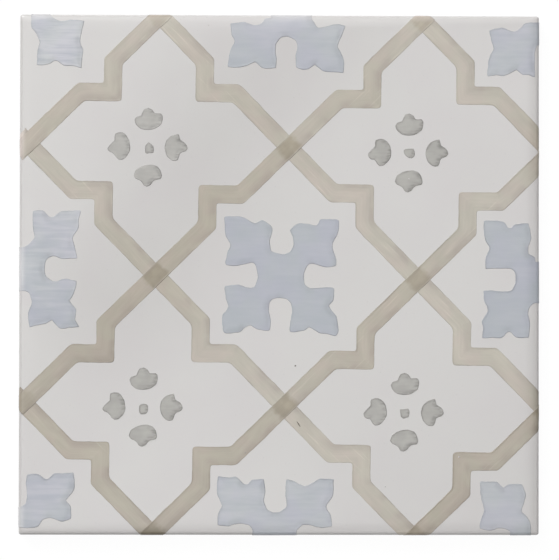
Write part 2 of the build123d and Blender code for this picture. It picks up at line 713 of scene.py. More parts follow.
def glaze_mesh(sizes):
    """The glaze coat, closed: face, cushioned rim, runs down the sides, and its underside."""
    made = bmesh.new()
    half = rim_profile(sizes)
    line = [(-d, fall) for d, fall in reversed(half[1:])] + half
    rows = []
    for y, fall_y in line:
        row = []
        for x, fall_x in line:
            fall = (fall_x**CORNER_POWER + fall_y**CORNER_POWER) ** (1 / CORNER_POWER)
            place = round_corner(x, y, sizes)
            row.append(made.verts.new((*place, sizes.thickness - fall)))
        rows.append(row)
    for near, far in zip(rows, rows[1:]):
        for i in range(len(line) - 1):
            made.faces.new((near[i], near[i + 1], far[i + 1], far[i]))
    last = len(line) - 1
    loop = rows[0][:last] + [row[last] for row in rows[:last]]
    loop += list(reversed(rows[last][1:])) + [row[0] for row in reversed(rows[1:])]

    above = loop
    for share, inset in SIDE_STEPS:
        below = []
        for vert in loop:
            bottom = glaze_edge_height(vert.co, sizes)
            height = vert.co.z + (bottom - vert.co.z) * share
            scale = 1 - inset / (sizes.side / 2)
            below.append(made.verts.new((vert.co.x * scale, vert.co.y * scale, height)))
        join_rings(made, above, below)
        above = below
    behind = sizes.thickness - sizes.cushion_drop - sizes.edge_radius - BEHIND_DEPTH
    inner = [made.verts.new((v.co.x, v.co.y, behind)) for v in above]
    join_rings(made, above, inner)
    under = sizes.thickness - sizes.glaze_thickness - SEAT_DEPTH
    scale = 1 - SEAT_INSET / (sizes.side / 2)
    seat = [made.verts.new((v.co.x * scale, v.co.y * scale, under)) for v in inner]
    join_rings(made, inner, seat)
    made.faces.new(tuple(seat))
    for face in made.faces:
        face.smooth = True
    return closed_mesh(made, "glaze_coat")


# Ornament cut out of stencils, each outline in millimetres from its own middle

CROSS_OUTLINE = (
    (-21.0, 22.7), (-14.8, 22.5), (-10.2, 20.2), (-7.3, 21.5), (-3.8, 19.3), (-3.2, 17.0),
    (-4.2, 13.8), (-4.2, 11.1), (-3.4, 9.5), (0.5, 8.4), (3.3, 9.1), (4.7, 11.9), (4.5, 15.0),
    (3.4, 17.6), (6.8, 20.2), (13.3, 19.5), (15.5, 21.7), (21.4, 21.9), (22.3, 20.1),
    (21.9, 16.2), (19.8, 11.9), (21.1, 6.8), (21.1, 3.8), (16.8, 3.3), (12.3, 4.7), (10.0, 3.8),
    (8.9, 0.5), (9.4, -3.4), (11.9, -4.8), (19.8, -4.4), (20.4, -6.6), (20.2, -9.5),
    (18.6, -11.7), (21.3, -15.6), (22.3, -21.1), (20.9, -23.0), (17.8, -22.2), (14.7, -22.0),
    (11.1, -19.9), (8.8, -21.1), (3.7, -21.6), (3.4, -18.3), (4.2, -14.4), (3.9, -10.9),
    (2.1, -8.9), (-0.2, -8.5), (-3.4, -9.1), (-4.6, -10.9), (-4.6, -13.6), (-3.8, -16.8),
    (-4.4, -20.8), (-8.9, -20.6), (-11.8, -19.2), (-14.0, -20.3), (-15.9, -21.7), (-21.6, -21.9),
    (-22.5, -19.1), (-22.4, -15.2), (-20.3, -11.8), (-21.2, -8.5), (-21.6, -4.2), (-16.7, -3.4),
    (-12.0, -4.6), (-10.0, -4.0), (-8.9, -0.3), (-9.5, 3.6), (-11.2, 5.0), (-17.1, 3.8),
    (-21.2, 4.4), (-20.8, 8.4), (-19.5, 11.9), (-21.2, 15.4), (-21.6, 21.3),
)

# The crosses that the tile's outline cuts: each is cut off past the outline
TOP_LEFT_OUTLINE = (
    (2.4, 1.0), (2.1, -4.0), (2.3, -7.4), (4.2, -10.0), (5.2, -12.6), (4.7, -15.4), (4.3, -19.0),
    (4.4, -21.8), (9.0, -21.4), (10.8, -20.3), (12.2, -20.4), (14.7, -22.1), (18.2, -22.1),
    (21.4, -23.1), (21.8, -19.0), (22.1, -16.0), (21.0, -13.0), (21.6, -8.5), (22.4, -4.7),
    (17.5, -4.2), (13.5, -4.9), (11.3, -4.0), (9.6, -2.4), (9.0, 1.0),
)
TOP_OUTLINE = (
    (-5.5, 3.0), (-5.8, -0.7), (-7.9, -1.1), (-9.3, -2.8), (-12.2, -3.8), (-15.7, -2.6),
    (-18.0, -2.8), (-21.3, -3.0), (-21.1, -7.2), (-19.8, -10.2), (-21.2, -12.7), (-22.0, -16.0),
    (-22.2, -19.8), (-18.1, -20.2), (-14.7, -19.3), (-12.0, -17.9), (-9.6, -19.9), (-7.5, -20.5),
    (-4.1, -20.1), (-3.5, -16.6), (-4.0, -13.5), (-3.7, -10.8), (-1.9, -8.5), (0.4, -8.1),
    (3.3, -9.2), (4.4, -12.0), (3.7, -15.3), (4.0, -19.9), (6.5, -20.8), (8.7, -20.5),
    (11.2, -18.9), (14.3, -21.4), (18.6, -21.8), (22.2, -22.0), (22.1, -16.2), (20.0, -11.6),
    (21.4, -7.6), (22.7, -3.9), (19.0, -3.3), (14.1, -4.5), (12.2, -4.5), (10.6, -2.3),
    (9.8, -0.3), (9.8, 3.0),
)
TOP_RIGHT_OUTLINE = (
    (3.0, -1.0), (-4.5, -0.8), (-7.8, -1.2), (-9.7, -3.2), (-11.8, -4.4), (-14.0, -3.9),
    (-16.9, -3.0), (-21.5, -4.2), (-20.9, -7.5), (-19.8, -11.0), (-21.2, -13.6), (-22.1, -16.5),
    (-22.2, -21.5), (-18.8, -21.2), (-16.0, -21.7), (-13.2, -20.5), (-11.0, -19.3), (-9.0, -21.0),
    (-6.5, -21.2), (-3.8, -21.8), (-3.9, -16.0), (-3.9, -12.3), (-2.9, -9.7), (3.0, -9.3),
)
LEFT_OUTLINE = (
    (-4.0, 8.0), (0.5, 8.2), (3.0, 10.0), (4.4, 12.4), (3.7, 16.7), (3.9, 22.0), (7.8, 22.2),
    (10.0, 20.0), (12.0, 20.0), (15.0, 22.1), (22.1, 22.3), (21.5, 18.5), (21.4, 15.6),
    (19.2, 11.9), (20.2, 7.7), (20.9, 4.1), (15.5, 3.7), (11.7, 4.7), (9.3, 3.5), (8.5, 0.5),
    (9.0, -2.8), (11.4, -4.7), (13.3, -4.8), (16.0, -4.0), (20.7, -4.9), (20.0, -9.0),
    (18.1, -12.3), (20.5, -15.8), (20.2, -19.5), (21.6, -22.5), (18.0, -22.8), (14.3, -22.9),
    (11.4, -19.9), (9.0, -21.0), (5.3, -21.8), (2.7, -22.4), (2.3, -17.5), (3.5, -13.2),
    (2.6, -9.8), (0.8, -8.7), (-4.0, -8.6),
)
RIGHT_OUTLINE = (
    (4.0, 6.4), (-0.2, 6.5), (-0.6, 8.3), (-3.1, 9.8), (-3.2, 12.5), (-2.2, 16.0), (-3.2, 21.4),
    (-8.4, 21.0), (-9.9, 19.8), (-11.2, 19.9), (-13.2, 22.1), (-20.2, 22.2), (-20.0, 15.4),
    (-18.2, 11.9), (-19.6, 8.0), (-19.5, 4.0), (-10.2, 4.0), (-8.3, 1.8), (-8.3, -1.6),
    (-9.7, -4.4), (-13.0, -4.9), (-18.0, -4.3), (-20.5, -4.5), (-20.2, -8.5), (-18.8, -12.2),
    (-21.1, -16.0), (-20.7, -19.0), (-20.9, -22.8), (-17.0, -22.7), (-13.6, -22.7),
    (-11.3, -20.7), (-9.8, -20.7), (-8.0, -22.4), (-3.2, -22.6), (-2.5, -17.5), (-3.3, -13.2),
    (-2.6, -10.6), (-0.4, -9.3), (4.0, -9.3),
)
BOTTOM_LEFT_OUTLINE = (
    (-4.0, 7.9), (0.3, 8.3), (2.5, 9.8), (3.0, 13.5), (2.6, 17.1), (3.2, 20.6), (6.8, 20.9),
    (9.9, 19.1), (11.2, 19.2), (13.5, 21.2), (17.0, 21.2), (20.7, 21.5), (21.3, 18.5),
    (20.9, 14.8), (18.0, 11.0), (19.9, 8.3), (19.8, 4.0), (16.4, 2.8), (12.3, 4.1), (9.2, 3.4),
    (7.4, 1.0), (4.4, 0.4), (-4.0, 0.6),
)
BOTTOM_OUTLINE = (
    (-8.0, -4.0), (-8.0, 0.5), (-9.3, 2.4), (-12.0, 3.1), (-15.0, 2.8), (-17.6, 2.2),
    (-21.5, 2.7), (-21.2, 7.2), (-19.7, 10.1), (-21.5, 14.0), (-21.7, 18.0), (-21.2, 21.2),
    (-17.0, 20.8), (-14.3, 21.1), (-11.6, 18.4), (-9.9, 18.3), (-8.3, 19.9), (-3.9, 20.0),
    (-3.1, 15.4), (-3.6, 12.0), (-2.5, 8.7), (0.0, 7.6), (2.4, 7.7), (5.0, 9.9), (4.6, 15.0),
    (4.9, 20.0), (8.0, 19.4), (11.9, 17.6), (15.4, 19.1), (17.9, 20.4), (23.0, 20.1),
    (22.9, 14.4), (20.4, 9.6), (22.0, 6.4), (22.5, 2.2), (18.3, 1.5), (14.1, 2.6), (11.2, 2.4),
    (9.0, 0.3), (8.8, -4.0),
)
BOTTOM_RIGHT_OUTLINE = (
    (-9.0, -3.0), (-9.5, 2.4), (-11.6, 3.7), (-14.0, 4.0), (-16.9, 2.9), (-21.0, 3.8),
    (-20.7, 7.4), (-19.5, 10.8), (-20.3, 14.0), (-20.9, 18.0), (-20.9, 21.9), (-18.0, 21.8),
    (-14.8, 21.7), (-12.2, 19.5), (-10.0, 20.7), (-5.0, 20.9), (-3.9, 18.5), (-3.5, 16.3),
    (-4.6, 12.5), (-4.8, 10.3), (-2.9, 8.3), (-1.7, 6.0), (-1.4, 2.0), (-1.5, -3.0),
)

PETAL_OUTLINES = (
    ((-5.35, 11.1), (-4.7, 9.25), (-2.8, 7.75), (-0.2, 7.3), (2.5, 7.8), (4.85, 9.4), (5.45, 11.5),
     (5.4, 12.9), (4.7, 13.65), (2.5, 13.7), (1.6, 15.0), (0.0, 15.8), (-1.6, 15.3), (-2.4, 13.8),
     (-2.8, 12.85), (-4.6, 12.25)),
    ((-5.55, -10.3), (-4.8, -8.2), (-3.1, -7.0), (-1.2, -6.3), (1.4, -6.1), (3.5, -6.8), (4.7, -8.4),
     (5.2, -10.5), (4.7, -11.6), (2.8, -12.0), (1.75, -12.7), (0.9, -13.85), (-0.5, -14.5),
     (-1.75, -14.0), (-2.55, -12.7), (-3.6, -12.0), (-4.8, -11.5)),
    ((6.3, 0.9), (6.95, 3.1), (8.4, 4.75), (10.0, 5.45), (11.6, 5.75), (12.0, 4.7), (12.4, 3.5),
     (13.85, 2.55), (14.8, 1.45), (15.05, 0.2), (14.35, -0.8), (12.8, -1.35), (12.05, -2.0),
     (11.7, -3.25), (11.2, -4.35), (10.0, -4.65), (8.6, -4.2), (7.15, -2.7), (6.5, -0.9)),
)

# The left petal, in the flowers on the left and then in those on the right
LEFT_PETALS = (
    ((-6.9, 0.5), (-7.3, 3.1), (-8.4, 5.1), (-9.6, 6.1), (-11.2, 6.35), (-12.7, 5.95), (-12.95, 4.8),
     (-13.0, 3.2), (-14.35, 1.95), (-15.4, 0.65), (-15.7, -0.1), (-15.15, -0.9), (-13.9, -1.45),
     (-13.0, -2.25), (-12.2, -3.35), (-11.1, -4.15), (-9.7, -4.05), (-8.1, -2.6), (-7.2, -1.05)),
    ((-6.9, 0.6), (-7.3, 3.2), (-8.5, 5.0), (-9.8, 5.9), (-11.2, 6.05), (-12.85, 5.55), (-13.15, 4.6),
     (-13.2, 3.2), (-14.45, 1.85), (-15.6, 0.6), (-15.85, -0.3), (-15.35, -1.35), (-14.4, -1.9),
     (-13.4, -2.0), (-12.8, -2.8), (-12.3, -3.7), (-11.3, -4.45), (-9.7, -4.2), (-8.1, -2.6), (-7.1, -1.0)),
)

# The dot in the middle of each flower, in the order of the flowers
DOT_OUTLINES = (
    ((-1.3, -0.2), (-1.2, 1.0), (-0.6, 2.0), (0.1, 2.5), (1.0, 2.0), (1.9, 1.0), (2.2, -0.2),
     (2.0, -1.4), (1.4, -1.65), (0.3, -1.6), (-0.4, -1.9), (-1.1, -1.6)),
    ((-2.1, 1.5), (-1.6, 2.1), (0.0, 2.3), (1.6, 2.3), (2.1, 1.3), (2.2, 0.1), (1.9, -0.8),
     (1.1, -1.4), (0.0, -1.3), (-0.9, -0.8), (-1.8, 0.2)),
    ((-1.6, 1.2), (-0.9, 1.7), (-0.1, 1.9), (1.0, 1.8), (1.7, 1.2), (1.8, -0.6), (1.2, -1.7),
     (0.2, -2.1), (-1.0, -2.1), (-1.6, -1.3), (-1.7, 0.0)),
    ((-1.9, 1.7), (-0.5, 1.8), (1.3, 2.0), (1.8, 1.2), (1.8, 0.2), (1.5, -1.2), (0.3, -1.6),
     (-0.5, -1.8), (-1.4, -1.2), (-1.7, 0.2)),
)

# How far a cross reaches up and down from its middle
CROSS_REACH = 22.0

# An outline keeps a turn of more than this many degrees as a tip, and nothing turns by more than 180
TIP_ANGLE = 60.0
PETAL_TIP_ANGLE = 42.0
NO_TIPS = 180.0

# Seed and strength of the hand wobble in each kind of shape
WOBBLES = {
    "bands_falling": (0, 0.6), "bands_rising": (1, 0.6), "cross": (5, 1.2),
    "petals": (9, 0.5), "dot": (10, 0.3), "speck": (11, 0.3),
}

# How far in from its edge a shape's paint is drawn darker, in millimetres: fully up to the first distance,
# and then less and less up to the one of its own kind
DARK_EDGE_FULL = 0.75
DARK_EDGE_REACH = {"cross": 3.0, "petals": 2.2, "dot": 1.6, "speck": 1.0}

# Bends of the four frames, measured from each frame's middle. A frame's place is counted in
# half pitches, and its four sides are named by the way they face.
SIDES = {"upper right": (1, 1), "upper left": (-1, 1), "lower left": (-1, -1), "lower right": (1, -1)}
FRAME_BENDS = {
    (-1, 1): {
        "upper right": (17.2, 20.2), "upper left": (-18.1, 19.9),
        "lower left": (-21.0, -17.9), "lower right": (18.9, -18.8),
    },
    (1, 1): {
        "upper right": (17.3, 20.7), "upper left": (-18.6, 18.7),
        "lower left": (-20.9, -17.7), "lower right": (18.8, -20.0),
    },
    (-1, -1): {
        "upper right": (17.0, 20.4), "upper left": (-19.5, 19.7),
        "lower left": (-20.8, -17.6), "lower right": (18.0, -19.0),
    },
    (1, -1): {
        "upper right": (17.2, 20.5), "upper left": (-19.9, 18.5),
        "lower left": (-20.8, -17.5), "lower right": (17.8, -19.8),
    },
}

# How strong the paint of each side came out at its start, its bend and its end, where it starts at the
# top or the bottom of its frame: 0 is the usual strength and 1 is dark
SIDE_STRENGTHS = {
    (-1, 1): {
        "upper right": (-0.85, -0.45, -0.3), "upper left": (-0.5, -0.2, 0.55),
        "lower left": (0.15, -0.45, -0.4), "lower right": (0.8, 0.45, 0.35),
    },
    (1, 1): {
        "upper right": (-1.0, -0.65, 0.3), "upper left": (-0.85, 0.15, -0.45),
        "lower left": (-0.35, -0.9, -0.35), "lower right": (0.4, -0.9, 0.0),
    },
    (-1, -1): {
        "upper right": (0.5, -0.6, -0.55), "upper left": (0.65, 1.35, 0.95),
        "lower left": (0.5, 0.65, 0.7), "lower right": (1.4, 0.85, 0.7),
    },
    (1, -1): {
        "upper right": (-0.7, -1.2, -0.4), "upper left": (0.6, 0.3, 0.05),
        "lower left": (-0.3, -1.05, -0.55), "lower right": (1.0, 0.7, 0.3),
    },
}

# Bands that fall to the right are painted first, and those that rise lie over them
BAND_FAMILIES = {"falling": ("upper right", "lower left"), "rising": ("upper left", "lower right")}

# How far each crossing of two bands slipped from its place, which is counted in half pitches
CROSSING_SLIPS = {
    (0, 1): (-0.2, -0.4), (0, -1): (-0.5, 0.4), (-1, 0): (-0.6, -0.1), (1, 0): (0.0, -0.4),
    (-1, 2): (-0.3, -0.5), (1, 2): (0.5, -0.6), (-1, -2): (-0.6, 0.8), (1, -2): (-0.2, 0.5),
    (-2, 1): (-0.3, -0.2), (-2, -1): (-0.5, 0.5), (2, 1): (0.6, -0.6), (2, -1): (0.0, -0.1),
}

# How dark the second coat came out at each crossing, where 1 is the usual depth, and how the paint looks
# at the rim beside it: above 0 darker, partly paint that ran down and partly painted shade on the right and
# bottom rims, and below 0 paler, partly paint that thinned and partly painted highlight on the left and top
# rims
CROSSING_COATS = {
    (0, 1): (0.9, 0.0), (0, -1): (1.0, 0.0), (-1, 0): (1.25, 0.0), (1, 0): (0.85, 0.0),
    (-1, 2): (0.4, -0.3), (1, 2): (0.6, -0.5), (-1, -2): (0.9, 1.2), (1, -2): (0.85, -0.15),
    (-2, 1): (0.0, -1.0), (-2, -1): (0.6, -0.15), (2, 1): (0.25, 0.3), (2, -1): (0.9, 1.3),
}

# How far past its last crossing a side of a frame runs on
RUN_ONS = {((-1, 1), "upper left"): 2.6, ((-1, 1), "lower left"): 1.4, ((-1, -1), "lower left"): 1.7}

# Outline and middle of each painted shape, how much paint the brush carried (1 is a full brush), how much
# more of it went on the upper part than on the lower, and how dry the brush was (1 leaves clear streaks)
CROSSES = (
    (TOP_LEFT_OUTLINE, (-97.8, 102.3, 0.33, -0.02, 1.0)),
    (TOP_OUTLINE, (2.3, 99.8, 0.47, -0.26, 0.15)),
    (TOP_RIGHT_OUTLINE, (102.2, 98.4, 0.56, -0.03, 0.2)),
    (LEFT_OUTLINE, (-98.7, 2.2, 0.60, -0.16, 0.6)),
    (CROSS_OUTLINE, (0.5, -0.4, 0.76, -0.03, 0.1)),
    (RIGHT_OUTLINE, (99.0, -1.4, 0.76, -0.04, 0.1)),
    (BOTTOM_LEFT_OUTLINE, (-99.8, -97.6, 0.72, -0.14, 0.5)),
    (BOTTOM_OUTLINE, (-2.2, -98.7, 0.58, 0.0, 0.25)),
    (BOTTOM_RIGHT_OUTLINE, (98.3, -101.2, 0.52, -0.04, 0.15)),
)

# Middle of each flower, and how much paint the brush carried
FLOWER_PLACES = ((-50.6, 48.3, 0.3), (49.8, 46.4, 1.0), (-52.2, -51.6, 0.95), (48.2, -53.4, 0.75))

# Paint is drawn darker beside the edges that face this way, toward the right and the bottom of the tile
DARK_EDGE_WAY = np.array((0.97, -0.2))

# Marks in the glaze: length, width and turn of each, then its place and how dark it is
SPECKS = (
    (3.0, 0.36, -58.0, (7.4, -57.4, 1.0)),
    (0.75, 0.6, 20.0, (6.1, -35.0, 0.9)),
    (0.5, 0.35, 80.0, (-13.0, -68.4, 0.7)),
    (0.4, 0.3, 0.0, (-27.6, 96.0, 0.6)),
    (0.45, 0.3, 40.0, (40.8, -81.5, 0.6)),
    (0.8, 0.5, 30.0, (69.1, -69.9, 0.0)),
    (0.85, 0.6, -20.0, (49.7, 37.1, 0.0)),
)

# How hard an outline pulls toward its next points in a tip and everywhere else
TIP_PULL = 0.14
CURVE_PULL = 0.36


def smooth_outline(points, tip_angle, spacing=0.35):
    """A closed curve through the points, in even steps. Turns of more than the tip angle stay tips."""
    count = len(points)
    corners = [np.array(point, float) for point in points]
    pulls = []
    for i in range(count):
        arrive = corners[i] - corners[i - 1]
        depart = corners[(i + 1) % count] - corners[i]
        cosine = float(arrive @ depart) / float(np.linalg.norm(arrive) * np.linalg.norm(depart))
        tip = cosine < math.cos(math.radians(tip_angle))
        pulls.append(TIP_PULL if tip else CURVE_PULL)
    dense = []
    for i in range(count):
        before, start, end, after = (corners[(i + k) % count] for k in (-1, 0, 1, 2))
        enter = (end - before) * pulls[i]
        leave = (after - start) * pulls[(i + 1) % count]
        steps = max(2, math.ceil(np.linalg.norm(end - start) / spacing))
        for k in range(steps):
            t = k / steps
            h1 = 2 * t**3 - 3 * t**2 + 1
            h2 = -2 * t**3 + 3 * t**2
            h3 = t**3 - 2 * t**2 + t
            h4 = t**3 - t**2
            dense.append(h1 * start + h2 * end + h3 * enter + h4 * leave)
    return np.array(dense)


def distance_inside(points, outline):
    """Distance of each point from a closed outline, whether it lies inside, and the stretch next to it."""
    start = outline
    end = np.roll(outline, -1, axis=0)
    run = end - start
    offset = points[:, None, :] - start[None, :, :]
    share = np.clip((offset * run).sum(2) / (run**2).sum(1), 0, 1)
    gap = offset - share[:, :, None] * run
    gaps = (gap**2).sum(2)
    nearest = gaps.argmin(1)
    distance = np.sqrt(gaps.min(1))
    x, y = points[:, 0:1], points[:, 1:2]
    spans = (start[:, 1] > y) != (end[:, 1] > y)
    rise = np.where(run[:, 1] == 0, 1e-12, run[:, 1])
    crossing = start[:, 0] + (y - start[:, 1]) * run[:, 0] / rise
    inside = (spans & (x < crossing)).sum(1) % 2 == 1
    return distance, inside, nearest


def edge_darkening(outward, distance, full, reach):
    """Share of darkening beside an edge that faces some way, at a distance in from it."""
    faced = np.clip((outward @ DARK_EDGE_WAY + 0.6) / 1.4, 0, 1)
    near = np.clip((reach - distance) / (reach - full), 0, 1)
    return faced**2 * (3 - 2 * faced) * near**2 * (3 - 2 * near)


# Rows of points in an outline stand this share of a cell apart, for triangles with even sides, and
# stay this share of a cell away from the rings of points along the edge
ROW_STEP = 0.866
ROW_GAP = 0.4

# A ring's point is left out where another stretch of the edge is nearer than this share of its distance
RING_SHARE = 0.93


def fill_outline(outline, reach, cell=0.55, rings=(0.08, 0.2, 0.36)):
    """Triangles inside an outline, finer along its edge.

    Each point has its distance to the edge and its share of darkening beside edges that face the right and
    the bottom, which reaches some way in.
    """
    run = np.roll(outline, -1, axis=0) - np.roll(outline, 1, axis=0)
    normal = np.stack([-run[:, 1], run[:, 0]], axis=1)
    normal /= np.linalg.norm(normal, axis=1)[:, None]
    area = (outline[:, 0] * np.roll(outline[:, 1], -1) - np.roll(outline[:, 0], -1) * outline[:, 1]).sum()
    normal *= math.copysign(1.0, area)
    extra = []
    for ring in rings:
        moved = outline + normal * ring
        distance, inside, _ = distance_inside(moved, outline)
        extra.append(moved[inside & (distance > ring * RING_SHARE)])
    low, high = outline.min(0), outline.max(0)
    rows = np.arange(low[1], high[1], cell * ROW_STEP)
    grid = [
        (x + (cell / 2 if j % 2 else 0), y)
        for j, y in enumerate(rows)
        for x in np.arange(low[0], high[0], cell)
    ]
    grid = np.array(grid)
    distance, inside, _ = distance_inside(grid, outline)
    extra.append(grid[inside & (distance > rings[-1] + cell * ROW_GAP)])
    points = np.concatenate([outline, *extra])
    edges = [(i, (i + 1) % len(outline)) for i in range(len(outline))]
    verts, _, faces, _, _, _ = geometry.delaunay_2d_cdt(
        [Vector(p) for p in points.tolist()], edges, [], 1, 1e-6
    )
    verts = np.array([tuple(v) for v in verts])
    distance, _, nearest = distance_inside(verts, outline)
    darker_edges = edge_darkening(-normal[nearest], distance, DARK_EDGE_FULL, reach)
    return verts, [list(face) for face in faces], distance, darker_edges


def stencil_mesh(name, outlines, tip_angle=NO_TIPS):
    """Flat mesh of several filled outlines, in metres, facing up."""
    reach = DARK_EDGE_REACH[name]
    places, faces, edges, darker_edges, heights = [], [], [], [], []
    for points in outlines:
        verts, polygons, distance, edge_shares = fill_outline(smooth_outline(points, tip_angle), reach)
        base = len(places)
        places += [(x * MM, y * MM, 0.0) for x, y in verts]
        faces += [[base + i for i in polygon] for polygon in polygons]
        edges += list(distance * MM)
        darker_edges += list(edge_shares)
        heights += list(verts[:, 1] / CROSS_REACH)
    mesh = bpy.data.meshes.new(name)
    mesh.from_pydata(places, [], faces)
    face_up(mesh)
    for attribute, values in (("edge", edges), ("pool", darker_edges), ("height", heights)):
        set_values(mesh, attribute, values)
    return mesh


def speck_outline(long_reach, short_reach, turn, corners=8):
    """An oval round its own middle."""
    angles = [2 * math.pi * k / corners for k in range(corners)]
    oval = [(long_reach * math.cos(angle), short_reach * math.sin(angle)) for angle in angles]
    return [
        (x * math.cos(turn) - y * math.sin(turn), x * math.sin(turn) + y * math.cos(turn)) for x, y in oval
    ]


def face_up(mesh):
    """Turn every face of a flat mesh to face up."""
    made = bmesh.new()
    made.from_mesh(mesh)
    for face in made.faces:
        face.normal_update()
        if face.normal.z < 0:
            face.normal_flip()
    made.to_mesh(mesh)
    made.free()


# How near to a line a point lies whose faces that line may cut
CUT_REACH = 3 * MM


def score_rim(mesh, tile, wrap, centre, turn, lines=8):
    """Cut a flat stencil along lines beside the tile's rim, so that it bends smoothly round the edge."""
    made = bmesh.new()
    made.from_mesh(mesh)
    to_stencil = Matrix.Rotation(-turn, 3, "Z")
    start = tile.side / 2 - tile.edge_radius
    for outward in ((1, 0, 0), (-1, 0, 0), (0, 1, 0), (0, -1, 0)):
        outward = Vector(outward)
        normal = to_stencil @ outward
        for line in range(lines + 1):
            distance = start + tile.edge_radius * wrap * line / lines
            point = to_stencil @ (outward * distance - Vector((*centre, 0.0)))
            near = {vert for vert in made.verts if abs((vert.co - point).dot(normal)) < CUT_REACH}
            faces = {face for vert in near for face in vert.link_faces}
            edges = {edge for face in faces for edge in face.edges}
            verts = {vert for face in faces for vert in face.verts}
            bmesh.ops.bisect_plane(
                made, geom=[*verts, *edges, *faces], dist=0.0003 * MM, plane_co=point, plane_no=normal
            )
    many_sided = [face for face in made.faces if len(face.verts) > 4]
    bmesh.ops.triangulate(made, faces=many_sided)
    made.to_mesh(mesh)
    made.free()


def crossing_place(column, row, pitch):
    """Where two bands cross, in millimetres."""
    slip = CROSSING_SLIPS.get((column, row), (0.0, 0.0))
    return np.array((column * pitch / 2, row * pitch / 2)) + slip


def side_joints(frame_place, side, pitch, half_width):
    """Joints of one side of a frame, from crossing to crossing, with a stop beside each crossing.

    Also gives the two crossings, and how far the side runs on past each: the tile's rim ends the bands.
    """
    column, row = frame_place
    across, up = SIDES[side]
    bend = np.array((column, row)) * pitch / 2 + FRAME_BENDS[frame_place][side]
    crossings = ((column, row + up), (column + across, row))
    past = [half_width if 2 in (abs(key[0]), abs(key[1])) else 0.0 for key in crossings]
    past[1] += RUN_ONS.get((frame_place, side), 0.0)
    start, end = (crossing_place(*key, pitch) for key in crossings)
    first = np.array((bend[0], start[1] - up * abs(bend[0] - start[0])))
    second = np.array((end[0] - across * abs(bend[1] - end[1]), bend[1]))
    leave = (first - start) / np.linalg.norm(first - start)
    arrive = (end - second) / np.linalg.norm(end - second)
    joints = [
        start - leave * past[0], start + leave * half_width, first, bend, second,
        end - arrive * half_width, end + arrive * past[1],
    ]
    return joints, crossings, past


# A mitre stretches no more than at a bend with this cosine to its bisector
MITRE_LIMIT = 0.3


def band_sections(joints, across, slant_width, step=0.6):
    """Rows of points across a band, skewed to a mitre at each bend. The slanting runs are narrower."""
    directions = [b - a for a, b in zip(joints, joints[1:])]
    directions = [d / np.linalg.norm(d) for d in directions]
    mitres = []
    for i in range(len(joints)):
        before = directions[max(i - 1, 0)]
        after = directions[min(i, len(directions) - 1)]
        bisector = before + after
        bisector /= np.linalg.norm(bisector)
        normal = np.array((-bisector[1], bisector[0]))
        mitres.append(normal / max(MITRE_LIMIT, float(bisector @ after)))
    widths = [1.0 if i in (2, 3) else slant_width for i in range(len(joints) - 1)]
    sections, lengths, runs = [], [], []
    travelled = 0.0
    for i, (start, end) in enumerate(zip(joints, joints[1:])):
        length = np.linalg.norm(end - start)
        count = max(2, math.ceil(length / step))
        for k in range(count + (i == len(joints) - 2)):
            share = k / count
            middle = start + (end - start) * share
            skew = mitres[i] + (mitres[i + 1] - mitres[i]) * share
            sections.append([middle + skew * v * widths[i] for v in across])
            lengths.append(travelled + length * share)
            runs.append(i)
        travelled += length
    return np.array(sections), np.array(lengths), runs


# Distances in from a band's edge at which it has rows of points, in millimetres, closer near the edge
BAND_ROWS = (0.0, 0.08, 0.2, 0.36, 0.6, 1.0, 1.7, 2.6)

# How often the rows of a band are averaged with their neighbours, which rounds its bends
BEND_ROUNDS = 4

# Distance past a crossing over which a stroke comes into its own tone, in millimetres
TONE_RUN = 5.0

# Length of brush map from one side of a frame to the next, in millimetres, longer than any side
BRUSH_STEP = 97.0

# Paint is fully darker within the first distance from a band's edge, and less so out to the second
BAND_DARK_EDGE = (0.6, 3.8)


